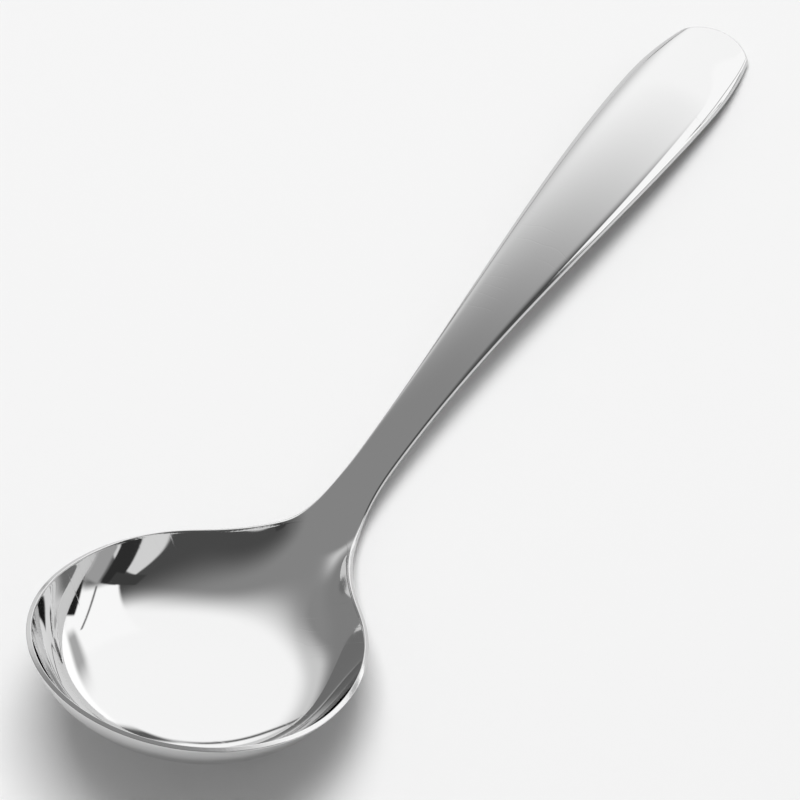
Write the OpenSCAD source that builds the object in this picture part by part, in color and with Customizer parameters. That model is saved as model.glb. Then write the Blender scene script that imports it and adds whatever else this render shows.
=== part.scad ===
// Soup spoon pressed from one blank of stainless steel.
// X runs along the spoon from the bowl to the handle, Y runs across and Z points up.
// The spoon lies as it does on a table: on the underside of its bowl and on the corners of its handle's end.
// Its shape is first worked out with the rim of the bowl level, from the widest place of the mouth.

/* [Bowl] */
// Width of the mouth inside the rim
mouth_w = 56; // [50:0.5:64]
// Length of the mouth from its widest place to the tip
front_len = 29.9; // [24:0.1:36]
// Length from the widest place to the rear end of the ellipse that the sides follow
rear_len = 34.7; // [28:0.1:40]
// Turn along that ellipse at which the sides leave it for the neck
shoulder_turn = 53; // [40:0.5:58]
// Depth of the bowl under the level of its rim
bowl_depth = 10.1; // [7:0.1:14]
// Steepness of the side walls at the rim
wall_angle = 66.4; // [55:0.1:70]
// Share of that steepness that the side walls keep at the shoulders
shoulder_wall_share = 0.5; // [0.2:0.05:1]
// Flatness of the floor, as the power of its dished profile
floor_power = 5.2; // [4:0.1:6]
// Angle at which the floor falls towards the handle
floor_fall = 1.1; // [0:0.1:5]
// Distance past the ellipse over which the floor ramps up into the neck
ramp_run = 15.4; // [6:0.1:18]
// Thickness of the metal at the rim and in the floor
rim_t = 0.95; // [0.7:0.05:1.6]

/* [Neck] */
// Distance along the spoon from the shoulders to the narrowest place of the neck
neck_run = 31.5; // [22:0.1:40]
// Width of the neck at its narrowest place
neck_w = 6.7; // [5:0.1:10]
// Thickness of the neck at its edges
neck_t = 1.3; // [1.2:0.05:3]
// Distance past the ellipse over which the edge stays level with the rim
level_run = 7.1; // [2:0.1:12]
// Distance along the spoon over which the neck bends up
bend_run = 13.1; // [10:0.1:22]
// Height that the bend of the neck gains
bend_rise = 5.9; // [3:0.1:9]
// Steepness of the handle just after the bend
bend_angle = 25.4; // [15:0.1:32]

/* [Handle] */
// Distance along the spoon from the neck to the widest place of the handle
taper_run = 96.7; // [80:0.1:130]
// Width of the handle at its widest place
handle_w = 18.2; // [14:0.1:26]
// Thickness of the handle at its edges
handle_t = 1.55; // [1.5:0.05:3]
// Height of the arch across the handle
crown_h = 1.9; // [0.5:0.05:3]
// Extra height that the upper face falls close to its edges
edge_fall = 0.6; // [0:0.05:1]
// Sharpness of that fall, as a power
edge_power = 12; // [8:1:20]
// Height that the handle gains from the bend of the neck to its end
arch_rise = 39.6; // [28:0.1:52]
// Steepness of the handle at its end
end_angle = 12.2; // [5:0.1:20]
// Distance from the widest place to the corners of the end
corner_run = 15.6; // [10:0.1:24]
// Width of the handle between the corners of its end
end_w = 13.9; // [10:0.1:18]
// Distance that the curved end reaches past its corners
end_bow = 2.6; // [1:0.1:5]
// Thickness of the handle at its end
end_t = 2.05; // [1.5:0.05:3]
// Distance that the rounded edge of the handle stands proud
edge_bulge = 0.45; // [0.1:0.05:0.8]
// Depth of the worn flats that the spoon rests on
foot_wear = 0.04; // [0.02:0.01:0.1]

/* [Hidden] */

// Stations along the spoon
shoulder_x = rear_len * sin(shoulder_turn);
neck_x = shoulder_x + neck_run;
wide_x = neck_x + taper_run;
corner_x = wide_x + corner_run;
end_x = corner_x + end_bow;
ramp_x = rear_len + ramp_run;
level_x = rear_len + level_run;
bend_x = level_x + bend_run;
end_z = bend_rise + arch_rise;

// Half widths
mouth_r = mouth_w / 2;
neck_r = neck_w / 2;
handle_r = handle_w / 2;
end_r = end_w / 2;

// Shares of the lengths that they are used with
crown_start_share = 0.8;
end_crown_share = 0.4;
thicken_start_share = 0.5;
edge_column_share = 0.012;
edge_row_share = 0.35;
column_pull_share = 0.5;
probe_share = 0.0001;

// Counts of rows along the spoon, of columns across it and of rings round its edge
bowl_rows = 42;
handle_rows = 30;
columns = 20;
edge_rings = 3;

ramp_power = ramp_x / rear_len;
half_root = sqrt(1 / 2);
probe = probe_share * mouth_w;

function limit(t) = min(max(t, 0), 1);
function smooth(t) = pow(limit(t), 2) * (3 - 2 * limit(t));
function between(x, low, high) = (x - low) / (high - low);
function mix(a, b, t) = a + (b - a) * t;
function unit(v) = v / norm(v);

// Curve from one height and slope to another over a span
function curve(t, from, from_slope, to, to_slope, span) =
    from * (2 * pow(t, 3) - 3 * pow(t, 2) + 1)
    + to * (3 * pow(t, 2) - 2 * pow(t, 3))
    + from_slope * span * (pow(t, 3) - 2 * pow(t, 2) + t)
    + to_slope * span * (pow(t, 3) - pow(t, 2));

// Half width of the upper face at a station
function half_width(x) =
    x < 0 ? mouth_r * sqrt(1 - pow(x / front_len, 2))
    : x < shoulder_x ? mouth_r * sqrt(1 - pow(x / rear_len, 2))
    : x < neck_x ? curve(
        between(x, shoulder_x, neck_x),
        mouth_r * cos(shoulder_turn), -mouth_r * tan(shoulder_turn) / rear_len,
        neck_r, 0, neck_run)
    : x < wide_x ? mix(neck_r, handle_r, smooth(between(x, neck_x, wide_x)))
    : mix(handle_r, end_r, pow(between(x, wide_x, corner_x), 2));

// Height of the edge above the level of the rim
function edge_z(x) =
    x < level_x ? 0
    : x < bend_x ? curve(between(x, level_x, bend_x), 0, 0, bend_rise, tan(bend_angle), bend_run)
    : curve(
        between(x, bend_x, end_x),
        bend_rise, tan(bend_angle), end_z, tan(end_angle), end_x - bend_x);

// Share of the way from the middle of the floor to the end of the bowl, before and behind it
function along_share(x) =
    x < 0 ? x / front_len : 1 - pow(1 - limit(x / ramp_x), ramp_power);

// Squared share of the way from the middle of the floor to the rim
function dish_share(x, y) =
    let (along = along_share(x))
    x < 0 ? pow(along, 2) + pow(y / mouth_r, 2)
    : pow(along, 2) + (1 - pow(along, 2)) * pow(y / half_width(x), 2);

// Lean of the dished profile that gives the side walls their steepness at the rim
function wall_lean(x) =
    let (steepness = tan(wall_angle) * mix(1, shoulder_wall_share, smooth(x / shoulder_x)))
    (floor_power - steepness * mouth_r / bowl_depth) / 2;

function dish(x, y) =
    let (square = dish_share(x, y))
    (bowl_depth + x * tan(floor_fall))
    * (1 - pow(square, floor_power / 2) * (1 + wall_lean(x) * (1 - square)));

// Arch of the handle above its edges, a parabola that falls faster close to them
function crown(x, y) =
    let (start = ramp_x * crown_start_share)
    let (square = pow(y / half_width(min(x, corner_x)), 2))
    x < start ? 0
    : smooth(between(x, start, wide_x))
        * mix(1, end_crown_share, smooth(between(x, wide_x, end_x)))
        * (crown_h * (1 - square) + edge_fall * (1 - pow(square, edge_power / 2)));

// Height of the upper face without its arch
function plain_z(x, y) = edge_z(x) - (x < ramp_x ? dish(x, y) : 0);

function top(x, y) = [x, y, plain_z(x, y) + crown(x, y)];

// Direction in which the thickness of the metal is laid off
function normal(x, y) = unit([
    (plain_z(x - probe, y) - plain_z(x + probe, y)) / (2 * probe),
    (plain_z(x, y - probe) - plain_z(x, y + probe)) / (2 * probe),
    1]);

// Share of the way from the thin bowl to the full thickness of the neck
function neck_share(x) = smooth(between(x, front_len * thicken_start_share, neck_x));

// Thickness of the metal at a station, the same all the way across
function thickness(x) =
    rim_t
    + (neck_t - rim_t) * neck_share(x)
    + (handle_t - neck_t) * smooth(between(x, neck_x, wide_x))
    + (end_t - handle_t) * smooth(between(x, wide_x, end_x));

// Stations of the rows along the middle, with one close row inside each end
edge_row = rim_t * edge_row_share;
row_x = concat(
    [-front_len, edge_row - front_len],
    [for (i = [1 : bowl_rows - 1]) mix(-front_len, neck_x, i / bowl_rows)],
    [for (i = [0 : handle_rows - 1]) mix(neck_x, end_x, i / handle_rows)],
    [end_x - edge_row, end_x]);

// Places of the columns across the spoon, with one close column inside each edge
function pull(t) = mix(t, sin(90 * t), column_pull_share);
column_share = concat(
    [-1, edge_column_share - 1],
    [for (i = [1 : columns - 1]) pull(2 * i / columns - 1)],
    [1 - edge_column_share, 1]);

// Station of the edge for a row, which bows round the tip and round the end
function side_x(x) =
    x + front_len * (1 - half_root) * smooth(-x / front_len)
    - end_bow * pow(limit(between(x, wide_x, end_x)), 2);

// Share of the bow of a row at a place across it
function bow(across) = (1 - sqrt(1 - pow(across, 2) / 2)) / (1 - half_root);

function plan(x, across) = [mix(x, side_x(x), bow(across)), half_width(side_x(x)) * across];

rows = len(row_x);
across_count = len(column_share);
plans = [for (x = row_x) [for (across = column_share) plan(x, across)]];
tops = [for (row = plans) [for (p = row) top(p[0], p[1])]];
normals = [for (row = plans) [for (p = row) normal(p[0], p[1])]];
unders = [for (i = [0 : rows - 1]) [for (j = [0 : across_count - 1])
    tops[i][j] - normals[i][j] * thickness(plans[i][j][0])]];

// Row and column of each point of the edge, once round the spoon
edge_path = concat(
    [for (i = [0 : rows - 1]) [i, 0]],
    [for (j = [1 : across_count - 1]) [rows - 1, j]],
    [for (i = [rows - 2 : -1 : 0]) [i, across_count - 1]],
    [for (j = [across_count - 2 : -1 : 1]) [0, j]]);
edge_count = len(edge_path);

function at(grid, k) = let (place = edge_path[(k + edge_count) % edge_count]) grid[place[0]][place[1]];
function outward(k) = unit(cross(at(tops, k + 1) - at(tops, k - 1), at(normals, k)));

// Point of a ring of the edge, at an angle from the upper face round to the underside
function ring_point(k, angle) =
    mix(at(tops, k), at(unders, k), (1 - cos(angle)) / 2)
    + outward(k) * edge_bulge * neck_share(at(tops, k)[0]) * sin(angle);
ring_angles = [for (r = [1 : edge_rings]) 180 * r / (edge_rings + 1)];
rings = [for (angle = ring_angles) [for (k = [0 : edge_count - 1]) ring_point(k, angle)]];

// The spoon is tilted until its bowl and the corners of its handle's end touch the table
middle = (across_count - 1) / 2;
bowl_line = [for (row = unders) if (row[middle][0] < neck_x) row[middle]];
end_area = [for (row = unders) if (row[middle][0] > wide_x) each row];
tilt = min([for (heel = end_area)
    max([for (low = bowl_line) atan2(heel[2] - low[2], heel[0] - low[0])])]);

level_points = [
    for (row = tops) each row,
    for (row = unders) each row,
    for (ring = rings) each ring];
function lean_back(p) = [
    p[0] * cos(tilt) + p[2] * sin(tilt),
    p[1],
    p[2] * cos(tilt) - p[0] * sin(tilt)];
tilted_points = [for (p = level_points) lean_back(p)];
reach = [for (p = tilted_points) p[0]];
heights = [for (p = tilted_points) p[2]];
centre_x = (min(reach) + max(reach)) / 2;
floor_z = min(heights) + foot_wear;
points = [for (p = tilted_points) p - [centre_x, 0, floor_z]];

// Numbers of the points, and the two triangles between four of them
grid_size = rows * across_count;
function top_at(i, j) = i * across_count + j;
function under_at(i, j) = grid_size + i * across_count + j;
function band_at(r, k) =
    let (place = edge_path[k % edge_count])
    r == 0 ? top_at(place[0], place[1])
    : r > edge_rings ? under_at(place[0], place[1])
    : 2 * grid_size + (r - 1) * edge_count + k % edge_count;
function two(a, b, c, d) = [[a, b, c], [a, c, d]];

faces = [
    for (i = [0 : rows - 2]) for (j = [0 : across_count - 2]) each
        two(top_at(i, j), top_at(i, j + 1), top_at(i + 1, j + 1), top_at(i + 1, j)),
    for (i = [0 : rows - 2]) for (j = [0 : across_count - 2]) each
        two(under_at(i, j), under_at(i + 1, j), under_at(i + 1, j + 1), under_at(i, j + 1)),
    for (r = [0 : edge_rings]) for (k = [0 : edge_count - 1]) each
        two(band_at(r, k), band_at(r, k + 1), band_at(r + 1, k + 1), band_at(r + 1, k))];

// The whole spoon, cut flat where it touches the table
module spoon() {
    block = [end_x + front_len, 2 * mouth_w, 2 * bowl_depth];
    color("lightgray")
        difference() {
            polyhedron(points = points, faces = faces);
            translate([-block[0], -block[1] / 2, -block[2]])
                cube([2 * block[0], block[1], block[2]]);
        }
}

spoon();
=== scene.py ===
"""Looks of a mirror-polished soup spoon, lying on a pale table under soft studio light."""

import math

import bpy
from mathutils import Matrix, Vector


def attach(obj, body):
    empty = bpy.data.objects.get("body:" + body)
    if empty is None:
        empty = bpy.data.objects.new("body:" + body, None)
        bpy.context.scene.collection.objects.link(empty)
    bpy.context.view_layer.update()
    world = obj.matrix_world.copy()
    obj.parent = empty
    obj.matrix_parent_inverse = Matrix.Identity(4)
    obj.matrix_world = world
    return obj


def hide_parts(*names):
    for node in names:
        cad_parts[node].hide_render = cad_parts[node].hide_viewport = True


MM = 0.001

# Camera: a long lens that looks down past the tip of the bowl
VIEW_TURN = -146.92
VIEW_RISE = 52.27
VIEW_ROLL = -0.97
VIEW_AIM = Vector((-8.3, 0.5, 12.6)) * MM
VIEW_DISTANCE = 1250.0 * MM
SENSOR_WIDTH = 36.0
LENS = 315.0

# Spoon mesh
WELD_GAP = 0.002 * MM
SPOON_LEVELS = 2

# Steel
STEEL_COLOUR = (0.62, 0.62, 0.62, 1.0)
POLISH_ROUGHNESS = 0.03
SMUDGE_ROUGHNESS = 0.06
SCRATCH_ROUGHNESS = 0.12
RIM_ROUGHNESS = 0.12
WIPE_LENGTH = 14.0 * MM
WIPE_WIDTH = 0.25 * MM
WIPE_DEPTH = 0.0004 * MM
SMUDGE_SIZE = 12.0 * MM
SMUDGE_START = 0.45
SMUDGE_END = 0.75
GRIND_SIZE = 0.5 * MM
GRIND_DEPTH = 0.01 * MM

# Curved scratches: their pitch, depth and bend, how thin a line is and where patches of them start
SCRATCH_GAP = 10.0 * MM
SCRATCH_DEPTH = 0.0012 * MM
SCRATCH_BEND = 9.0
SCRATCH_BEND_SCALE = 0.6
SCRATCH_EDGE = 0.985
PATCH_START = 0.54
PATCH_END = 0.64

# Plane of the bowl's rim in the lying spoon: its tilt towards the handle and its height over the origin,
# the breadth of its ground face and of the blend beside it, and the place along the spoon where it ends
RIM_TILT = 19.99
RIM_HEIGHT = -8.5 * MM
RIM_BAND = 0.4 * MM
RIM_BLEND = 0.12 * MM
RIM_END = -25.0 * MM
RIM_FADE = 10.0 * MM

# Table
TABLE_SIDE = 1.0
TABLE_COLOUR = (0.86, 0.86, 0.86, 1.0)
TABLE_GRAIN = 0.6 * MM
TABLE_SMOOTHEST = 0.75
TABLE_ROUGHEST = 0.9

# Soft lamp over the table, which throws the shadow
LAMP_PLACE = Vector((0.1, 0.1, 1.5))
LAMP_SIDE = 0.9
LAMP_POWER = 19.0

# Brightness of the room: the light it sheds, its grey ceiling and its light end
WHITE = (1.0, 1.0, 1.0, 1.0)
ROOM_FILL = 0.32
CEILING_TONE = 0.36
LIGHT_END_TONE = 1.45
# Degrees from straight up, towards +X, between which the ceiling grows light
CEILING_FADE_START = 23.0
CEILING_FADE_END = 50.0

# What the steel mirrors of the studio, on a map of the room: straight up is the middle of the map,
# and each degree away from it is one unit towards +X or +Y.
# Middle, half length, half breadth, turn, softness along and across, brightness.
STUDIO_CARDS = {
    "dark room behind the camera": ((-72, 10), 50, 60, 0, 14, 14, 0.10),
    "wall on the left": ((62, 76), 32, 22, 0, 14, 24, 0.90),
    "shade on the right": ((6, -56), 50, 24, 0, 10, 34, 0.10),
    "side softbox": ((63, -30), 38, 19, 66, 10, 2, 1.5),
    "end of the ceiling": ((24, 92), 40, 18, 0, 30, 16, 0.32),
    "low white card": ((8, -67.4), 18, 12, 12, 1.5, 1.5, 1.0),
    "black card": ((25.4, -65.7), 14, 6.3, 32, 2, 1.5, 0.04),
    "stem of the black card": ((28.5, -53), 9, 4.5, -62, 2, 1.5, 0.07),
    "grey card": ((36, -76), 12, 6, 34, 3, 3, 0.50),
    "black flag": ((62, -67), 24, 5, 58, 4, 2, 0.02),
    "seam of the softbox": ((57.3, -42), 25, 0.8, 57, 2, 1.5, 0.20),
    "far softbox": ((94, -12), 11, 40, 0, 3, 3, 1.6),
    "far stand": ((78.5, -6), 3.5, 20, 0, 4, 16, 0.6),
    "left pole": ((69, 52), 20, 1.0, 114, 6, 2, 0.12),
    "left frame": ((86, 32), 8, 2.5, 0, 3, 3, 0.15),
}


def only(piece):
    """Makes one object the selected and active one."""
    bpy.ops.object.select_all(action="DESELECT")
    piece.select_set(True)
    bpy.context.view_layer.objects.active = piece


def put(tree, kind, sockets=None, **settings):
    """Adds a shader node; each of its sockets is given a value or is joined to another socket."""
    node = tree.nodes.new(kind)
    for name, value in settings.items():
        setattr(node, name, value)
    for place, value in (sockets or {}).items():
        if isinstance(value, bpy.types.NodeSocket):
            tree.links.new(value, node.inputs[place])
        else:
            node.inputs[place].default_value = value
    return node


def sums(tree, operation, first, second):
    """Output of a math node of two numbers."""
    return put(tree, "ShaderNodeMath", {0: first, 1: second}, operation=operation).outputs[0]


def ramp(tree, value, low, high, start=0.0, end=1.0):
    """Smooth step of a value between two limits."""
    sockets = {"Value": value, "From Min": low, "From Max": high, "To Min": start, "To Max": end}
    return put(tree, "ShaderNodeMapRange", sockets, interpolation_type="SMOOTHSTEP").outputs[0]


def blend(tree, share, first, second):
    """Mix of two numbers."""
    return put(tree, "ShaderNodeMix", {0: share, 2: first, 3: second}).outputs[0]


def noise(tree, place, size, detail):
    """Noise whose patches are about as large as the size given."""
    return put(tree, "ShaderNodeTexNoise", {"Vector": place, "Scale": 1 / size, "Detail": detail}).outputs[0]


def bump(tree, height, depth, **sockets):
    """Relief of a height map; it can lie on top of another relief."""
    return put(tree, "ShaderNodeBump", {"Height": height, "Distance": depth, **sockets})


def wipe_marks(tree, place):
    """Hairlines left by wiping along the spoon."""
    stretch = (1 / WIPE_LENGTH, 1 / WIPE_WIDTH, 1 / WIPE_WIDTH)
    along = put(tree, "ShaderNodeMapping", {"Vector": place, "Scale": stretch}).outputs[0]
    return noise(tree, along, 1.0, 3.0)


def curved_scratches(tree, place):
    """A few thin curved scratches, broken into short lengths."""
    lines = {
        "Vector": place,
        "Scale": 1 / SCRATCH_GAP,
        "Distortion": SCRATCH_BEND,
        "Detail": 2.0,
        "Detail Scale": SCRATCH_BEND_SCALE,
    }
    wave = put(tree, "ShaderNodeTexWave", lines, wave_type="RINGS", rings_direction="Z").outputs["Fac"]
    thin = ramp(tree, wave, SCRATCH_EDGE, 1.0)
    patches = noise(tree, place, SMUDGE_SIZE, 1.0)
    return sums(tree, "MULTIPLY", thin, ramp(tree, patches, PATCH_START, PATCH_END))


def rim_band(tree, place):
    """1 on the ground face of the bowl's rim, 0 elsewhere."""
    turned = put(tree, "ShaderNodeVectorRotate", {"Vector": place, "Angle": math.radians(-RIM_TILT)},
                 rotation_type="Y_AXIS").outputs[0]
    height = put(tree, "ShaderNodeSeparateXYZ", {0: turned}).outputs["Z"]
    along = put(tree, "ShaderNodeSeparateXYZ", {0: place}).outputs["X"]
    foot = RIM_HEIGHT - RIM_BAND
    high = ramp(tree, height, foot, foot + RIM_BLEND)
    return sums(tree, "MULTIPLY", high, ramp(tree, along, RIM_END, RIM_END - RIM_FADE))


def polished_steel():
    """Mirror-polished stainless steel with wiping marks, thin scratches and a ground rim."""
    material = bpy.data.materials.new("polished_steel")
    material.use_nodes = True
    tree = material.node_tree
    shader = tree.nodes["Principled BSDF"]
    shader.inputs["Base Color"].default_value = STEEL_COLOUR
    shader.inputs["Metallic"].default_value = 1.0
    place = put(tree, "ShaderNodeTexCoord").outputs["Object"]
    wipes = wipe_marks(tree, place)
    scratches = curved_scratches(tree, place)
    rim = rim_band(tree, place)
    smudges = noise(tree, place, SMUDGE_SIZE, 4.0)
    grinding = noise(tree, place, GRIND_SIZE, 4.0)

    polish = ramp(tree, smudges, SMUDGE_START, SMUDGE_END, POLISH_ROUGHNESS, SMUDGE_ROUGHNESS)
    scratched = blend(tree, scratches, polish, SCRATCH_ROUGHNESS)
    roughness = blend(tree, rim, scratched, RIM_ROUGHNESS)
    tree.links.new(roughness, shader.inputs["Roughness"])

    wiped = bump(tree, wipes, WIPE_DEPTH)
    cut = bump(tree, scratches, SCRATCH_DEPTH, Normal=wiped.outputs[0])
    cut.invert = True
    rim_marks = sums(tree, "MULTIPLY", grinding, rim)
    ground = bump(tree, rim_marks, GRIND_DEPTH, Normal=cut.outputs[0])
    tree.links.new(ground.outputs[0], shader.inputs["Normal"])
    return material


def table_top():
    """Matt, nearly white table with a faint grain."""
    material = bpy.data.materials.new("table_top")
    material.use_nodes = True
    tree = material.node_tree
    shader = tree.nodes["Principled BSDF"]
    shader.inputs["Base Color"].default_value = TABLE_COLOUR
    place = put(tree, "ShaderNodeTexCoord").outputs["Object"]
    grain = noise(tree, place, TABLE_GRAIN, 2.0)
    roughness = ramp(tree, grain, 0.3, 0.7, TABLE_SMOOTHEST, TABLE_ROUGHEST)
    tree.links.new(roughness, shader.inputs["Roughness"])
    return material


def make_spoon(node):
    """Smooth skin of the spoon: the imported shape, welded, back in quads and subdivided."""
    spoon = node.copy()
    spoon.data = node.data.copy()
    spoon.name = "smooth_spoon"
    spoon.data.name = "smooth_spoon"
    spoon.parent = None
    spoon.matrix_world = Matrix.Identity(4)
    bpy.context.scene.collection.objects.link(spoon)
    only(spoon)
    bpy.ops.object.mode_set(mode="EDIT")
    bpy.ops.mesh.select_all(action="SELECT")
    bpy.ops.mesh.remove_doubles(threshold=WELD_GAP)
    bpy.ops.mesh.tris_convert_to_quads(
        face_threshold=math.pi, shape_threshold=math.pi, topology_influence=1.0)
    bpy.ops.object.mode_set(mode="OBJECT")
    smoother = spoon.modifiers.new("smoother", "SUBSURF")
    smoother.levels = SPOON_LEVELS
    smoother.render_levels = SPOON_LEVELS
    bpy.ops.object.modifier_apply(modifier=smoother.name)
    bpy.ops.object.shade_smooth()
    spoon.data.materials.clear()
    spoon.data.materials.append(polished_steel())
    return spoon


def make_table():
    """Wide flat table under the spoon."""
    bpy.ops.object.select_all(action="DESELECT")
    bpy.ops.mesh.primitive_plane_add(size=TABLE_SIDE, location=(0, 0, 0))
    table = bpy.context.object
    table.name = "table"
    table.data.materials.append(table_top())


def make_camera():
    """Camera at the photograph's angle."""
    data = bpy.data.cameras.new("camera")
    data.sensor_width = SENSOR_WIDTH
    data.lens = LENS
    camera = bpy.data.objects.new("camera", data)
    bpy.context.scene.collection.objects.link(camera)
    turn = math.radians(VIEW_TURN)
    rise = math.radians(VIEW_RISE)
    back = Vector((math.cos(rise) * math.cos(turn), math.cos(rise) * math.sin(turn), math.sin(rise)))
    camera.rotation_mode = "QUATERNION"
    level = (-back).to_track_quat("-Z", "Y")
    roll = Matrix.Rotation(math.radians(VIEW_ROLL), 3, back).to_quaternion()
    camera.rotation_quaternion = roll @ level
    camera.location = VIEW_AIM + back * VIEW_DISTANCE
    bpy.context.scene.camera = camera


def vector(tree, operation, first, second=None):
    """Output of a vector math node."""
    sockets = {0: first} if second is None else {0: first, 1: second}
    return put(tree, "ShaderNodeVectorMath", sockets, operation=operation).outputs[0]


def lay_card(tree, place, behind, card):
    """Lays one soft-edged card over what the room shows so far."""
    middle, half_length, half_breadth, turn, softness_along, softness_across, tone = card
    offset = vector(tree, "SUBTRACT", place, (*middle, 0))
    turned = put(tree, "ShaderNodeVectorRotate", {"Vector": offset, "Angle": -math.radians(turn)},
                 rotation_type="Z_AXIS").outputs[0]
    inside = vector(tree, "SUBTRACT", (half_length, half_breadth, 0), vector(tree, "ABSOLUTE", turned))
    share = vector(tree, "DIVIDE", inside, (softness_along, softness_across, 1))
    axes = put(tree, "ShaderNodeSeparateXYZ", {0: share}).outputs
    cover = sums(tree, "MULTIPLY", ramp(tree, axes["X"], -0.5, 0.5), ramp(tree, axes["Y"], -0.5, 0.5))
    return blend(tree, cover, behind, tone)


def make_room():
    """White room with a plain even glow, in which the steel mirrors a ceiling, softboxes and cards."""
    world = bpy.data.worlds.new("room")
    bpy.context.scene.world = world
    world.use_nodes = True
    tree = world.node_tree
    tree.nodes.remove(tree.nodes["Background"])
    direction = put(tree, "ShaderNodeTexCoord").outputs["Generated"]
    heading = vector(tree, "NORMALIZE", vector(tree, "MULTIPLY", direction, (1, 1, 0)))
    height = put(tree, "ShaderNodeSeparateXYZ", {0: direction}).outputs["Z"]
    angle = put(tree, "ShaderNodeMath", {0: height}, operation="ARCCOSINE").outputs[0]
    degrees = put(tree, "ShaderNodeMath", {0: angle}, operation="DEGREES").outputs[0]
    place = put(tree, "ShaderNodeVectorMath", {0: heading, "Scale": degrees}, operation="SCALE").outputs[0]
    ahead = put(tree, "ShaderNodeSeparateXYZ", {0: place}).outputs["X"]
    mirrored = ramp(tree, ahead, CEILING_FADE_START, CEILING_FADE_END, CEILING_TONE, LIGHT_END_TONE)
    for card in STUDIO_CARDS.values():
        mirrored = lay_card(tree, place, mirrored, card)

    path = put(tree, "ShaderNodeLightPath").outputs
    seen = sums(tree, "MAXIMUM", path["Is Camera Ray"], path["Is Transmission Ray"])
    plain = blend(tree, seen, ROOM_FILL, 1.0)
    glow = put(tree, "ShaderNodeBackground", {"Color": WHITE, "Strength": plain}).outputs[0]
    studio = put(tree, "ShaderNodeBackground", {"Color": WHITE, "Strength": mirrored}).outputs[0]
    room = put(tree, "ShaderNodeMixShader", {0: path["Is Glossy Ray"], 1: glow, 2: studio}).outputs[0]
    tree.links.new(room, tree.nodes["World Output"].inputs["Surface"])


def make_lamp():
    """Large soft lamp that throws the spoon's shadow on the table."""
    data = bpy.data.lights.new("softbox", "AREA")
    data.size = LAMP_SIDE
    data.energy = LAMP_POWER
    lamp = bpy.data.objects.new("softbox", data)
    lamp.location = LAMP_PLACE
    lamp.rotation_mode = "QUATERNION"
    lamp.rotation_quaternion = (-LAMP_PLACE).to_track_quat("-Z", "Y")
    lamp.visible_glossy = False
    bpy.context.scene.collection.objects.link(lamp)


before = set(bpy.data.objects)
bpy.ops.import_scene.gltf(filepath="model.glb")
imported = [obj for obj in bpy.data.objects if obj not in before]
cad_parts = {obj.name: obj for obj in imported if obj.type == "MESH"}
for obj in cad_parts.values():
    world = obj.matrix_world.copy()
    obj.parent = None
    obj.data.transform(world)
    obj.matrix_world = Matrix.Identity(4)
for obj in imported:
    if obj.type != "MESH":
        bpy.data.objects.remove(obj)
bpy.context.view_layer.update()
bpy.context.scene.view_settings.view_transform = "Standard"
make_camera()
make_room()
make_lamp()
make_table()
spoon = make_spoon(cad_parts["spoon"])
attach(spoon, "root")
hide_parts("spoon")
